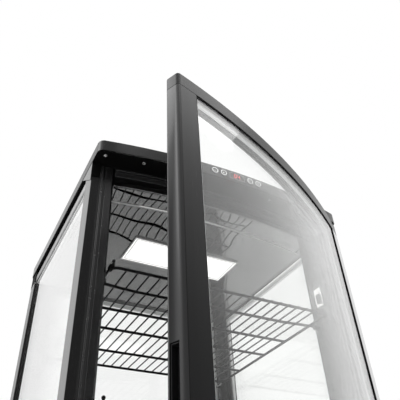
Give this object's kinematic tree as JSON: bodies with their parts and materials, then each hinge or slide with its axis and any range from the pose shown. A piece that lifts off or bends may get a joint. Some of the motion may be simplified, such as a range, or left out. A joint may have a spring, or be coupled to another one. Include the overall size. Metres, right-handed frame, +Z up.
{
  "type": "glass door merchandiser",
  "caption": "Countertop refrigerated display cabinet, glazed on all sides, with a bow-front hinged glass door, wire shelves, ceiling light and a ventilated base.",
  "frame": {"origin": "centre of the bounding box, door as stored, at the underside of the feet", "axes": "+Z up, the door and controls face -Y, the door is hinged at +X"},
  "size_m": [0.4316, 0.568, 0.965],
  "materials": {
    "black_plastic": "semi-gloss moulded black",
    "black_steel": "black powder coat",
    "frame_black": "black extruded frame, satin",
    "mirror_steel": "mirror-polished sheet",
    "clear_glass": "clear",
    "spacer_aluminium": "mill finish",
    "seal_rubber": "matte",
    "chrome_wire": "plated wire",
    "zinc_steel": "zinc plated",
    "lens_white": "opal diffuser",
    "display_red": "dark red window",
    "button_grey": "light grey",
    "foot_rubber": "matte",
    "fin_aluminium": "finned coil",
    "compressor_black": "black painted"
  },
  "bodies": {
    "cabinet": {"front_grille": "black_plastic", "power_inlet": "black_plastic", "fan_shroud": "black_plastic", "canopy_shell": "black_plastic", "soffit_panel": "black_plastic", "controller_box": "black_plastic", "base_shell": "black_steel", "rear_vent": "black_steel", "deck": "frame_black", "post_front_left": "frame_black", "post_front_right": "frame_black", "post_rear_left": "frame_black", "post_rear_right": "frame_black", "header_front": "frame_black", "header_rails": "frame_black", "ceiling_panel": "mirror_steel", "glass_left_outer": "clear_glass", "glass_left_inner": "clear_glass", "glass_right_outer": "clear_glass", "glass_right_inner": "clear_glass", "glass_rear_outer": "clear_glass", "glass_rear_inner": "clear_glass", "glass_left_spacer": "spacer_aluminium", "glass_right_spacer": "spacer_aluminium", "glass_rear_spacer": "spacer_aluminium", "base_pan": "zinc_steel", "light_frame": "zinc_steel", "standard_front_left": "zinc_steel", "standard_front_right": "zinc_steel", "standard_rear_left": "zinc_steel", "standard_rear_right": "zinc_steel", "switch_plate": "zinc_steel", "hinge_top": "zinc_steel", "hinge_bottom": "zinc_steel", "light_lens": "lens_white", "display_window": "display_red", "foot_front_left": "foot_rubber", "foot_front_right": "foot_rubber", "foot_rear_left": "foot_rubber", "foot_rear_right": "foot_rubber", "condenser_coil": "fin_aluminium", "compressor": "compressor_black"},
    "door": {"door_stile_free": "frame_black", "door_stile_hinge": "frame_black", "door_rail_top": "frame_black", "door_rail_bottom": "frame_black", "door_glass_outer": "clear_glass", "door_glass_inner": "clear_glass", "door_glass_spacer": "spacer_aluminium", "door_seal": "seal_rubber"},
    "lock": {"lock_barrel": "zinc_steel"},
    "button_a": {"button_1": "button_grey"},
    "button_b": {"button_2": "button_grey"},
    "button_c": {"button_3": "button_grey"},
    "button_d": {"button_4": "button_grey"},
    "fan": {"condenser_fan": "black_plastic"},
    "rocker": {"switch_rocker": "black_plastic"},
    "shelf_upper": {"shelf_1": "chrome_wire"},
    "shelf_middle": {"shelf_2": "chrome_wire"},
    "shelf_lower": {"shelf_3": "chrome_wire"}
  },
  "joints": [
    {"name": "door_hinge", "type": "hinge", "parent": "cabinet", "child": "door", "pos_m": [0.20223, -0.10047, 0.6], "axis": [0, 0, 1], "range_deg": [-24.1, 86]},
    {"name": "lock_turn", "type": "hinge", "parent": "door", "child": "lock", "pos_m": [-0.16058, -0.27756, 0.405], "axis": [0.4083, -0.9128, 0], "range_deg": [0, 90]},
    {"name": "fan_spin", "type": "hinge", "parent": "cabinet", "child": "fan", "pos_m": [-0.00077, -0.04147, 0.102], "axis": [0, 1, 0], "continuous": true},
    {"name": "light_rocker", "type": "hinge", "parent": "cabinet", "child": "rocker", "pos_m": [0.17683, -0.07097, 0.8145], "axis": [0, 1, 0], "range_deg": [-5, 5]},
    {"name": "button_a_press", "type": "slide", "parent": "cabinet", "child": "button_a", "axis": [0, 1, 0], "range_m": [0, 0.0015], "stiffness_N_per_m": 400},
    {"name": "button_b_press", "type": "slide", "parent": "cabinet", "child": "button_b", "axis": [0, 1, 0], "range_m": [0, 0.0015], "stiffness_N_per_m": 400},
    {"name": "button_c_press", "type": "slide", "parent": "cabinet", "child": "button_c", "axis": [0, 1, 0], "range_m": [0, 0.0015], "stiffness_N_per_m": 400},
    {"name": "button_d_press", "type": "slide", "parent": "cabinet", "child": "button_d", "axis": [0, 1, 0], "range_m": [0, 0.0015], "stiffness_N_per_m": 400},
    {"name": "shelf_upper_lift", "type": "slide", "parent": "cabinet", "child": "shelf_upper", "axis": [0, 0, 1], "range_m": [0, 0.02]},
    {"name": "shelf_middle_lift", "type": "slide", "parent": "cabinet", "child": "shelf_middle", "axis": [0, 0, 1], "range_m": [0, 0.02]},
    {"name": "shelf_lower_lift", "type": "slide", "parent": "cabinet", "child": "shelf_lower", "axis": [0, 0, 1], "range_m": [0, 0.02]}
  ]
}
